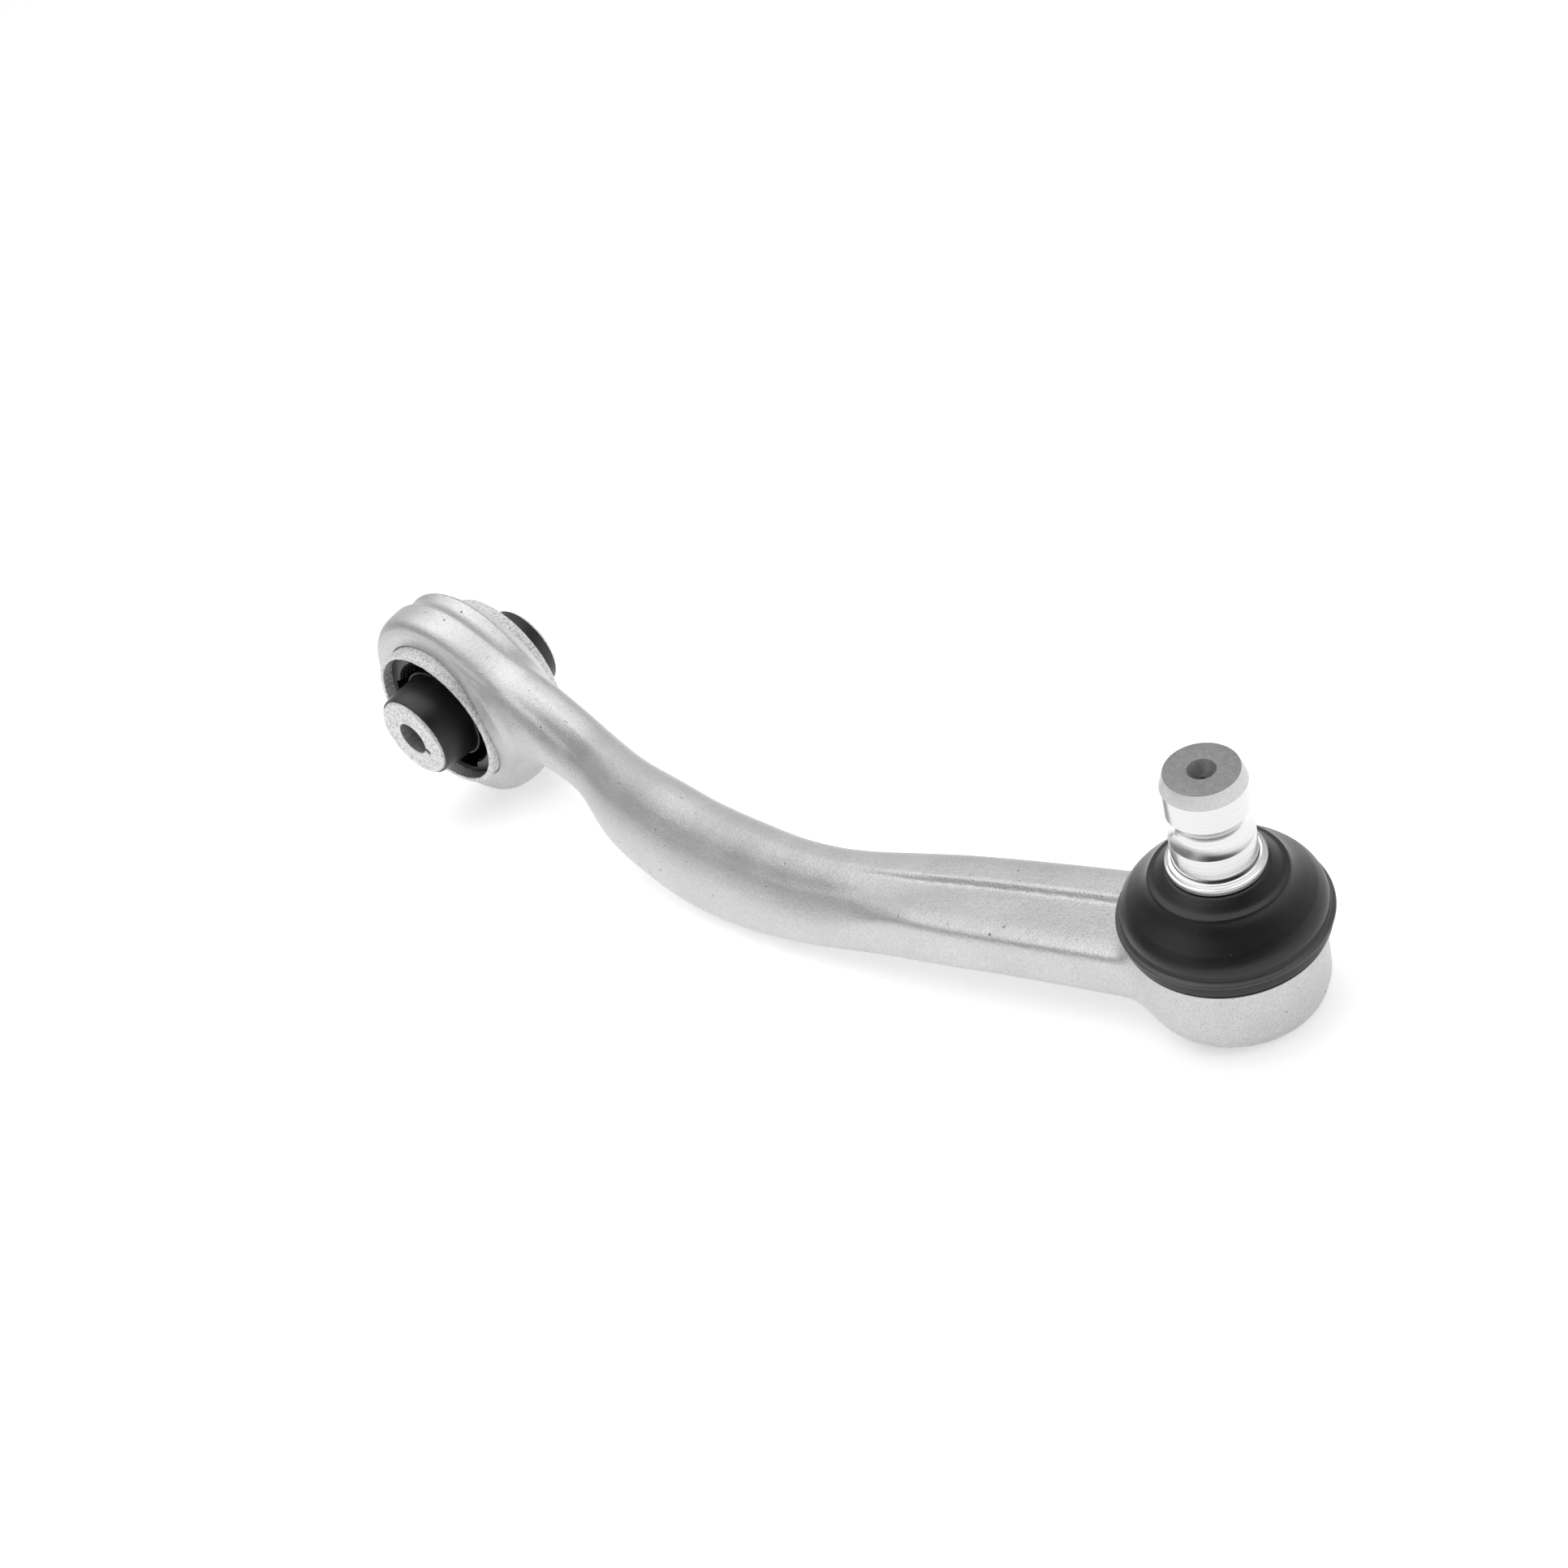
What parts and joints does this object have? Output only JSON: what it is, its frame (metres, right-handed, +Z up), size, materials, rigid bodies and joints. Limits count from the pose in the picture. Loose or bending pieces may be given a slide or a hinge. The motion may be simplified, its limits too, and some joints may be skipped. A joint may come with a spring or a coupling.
{
  "type": "suspension control arm",
  "caption": "Forged aluminium suspension control arm with a voided rubber bush at one end and a grooved-stud ball joint under a dust boot at the other.",
  "frame": {"origin": "middle of the arm's box, on the surface that it lies on", "axes": "+X from the bush towards the ball joint, Y along the bush's axis, +Z up as the arm lies on a table"},
  "size_m": [0.3428, 0.0758, 0.0624],
  "materials": {
    "forged_aluminium": "forged and shot-blasted, satin light grey with fine pits",
    "sanded_metal": "grainy sanded light metal",
    "machined_steel": "turned bright steel",
    "black_steel": "black coated steel, satin",
    "black_rubber": "moulded black rubber, satin",
    "bearing_plastic": "natural acetal plastic"
  },
  "bodies": {
    "arm": {"arm_forging": "forged_aluminium", "bush_outer_sleeve": "sanded_metal", "bush_rubber": "black_rubber", "ball_seat": "bearing_plastic", "housing_cap": "black_steel", "boot_lower_clamp": "black_steel"},
    "bush_core": {"bush_inner_sleeve": "sanded_metal", "bush_core_rubber": "black_rubber"},
    "boot_body": {"dust_boot": "black_rubber"},
    "boot_top": {"boot_bead_ring": "black_steel"},
    "stud": {"ball_stud": "machined_steel", "stud_collar": "machined_steel"}
  },
  "joints": [
    {"name": "bush_twist", "type": "hinge", "parent": "arm", "child": "bush_core", "pos_m": [-0.14027, 0.01414, 0.03118], "axis": [0, 1, 0], "range_deg": [-25, 25], "stiffness_Nm_per_rad": 2},
    {"name": "stud_tilt_long", "type": "hinge", "parent": "arm", "child": "boot_body", "pos_m": [0.14972, -0.01746, 0.01739], "axis": [0.001, 0.9996, 0.0279], "range_deg": [-18, 18], "deforming": ["dust_boot"]},
    {"name": "stud_tilt_side", "type": "hinge", "parent": "boot_body", "child": "boot_top", "pos_m": [0.14972, -0.01746, 0.01739], "axis": [0.9671, 0.0061, -0.2545], "range_deg": [-18, 18]},
    {"name": "stud_spin", "type": "hinge", "parent": "boot_top", "child": "stud", "pos_m": [0.14972, -0.01746, 0.01739], "axis": [0.2546, -0.0272, 0.9667], "continuous": true}
  ]
}
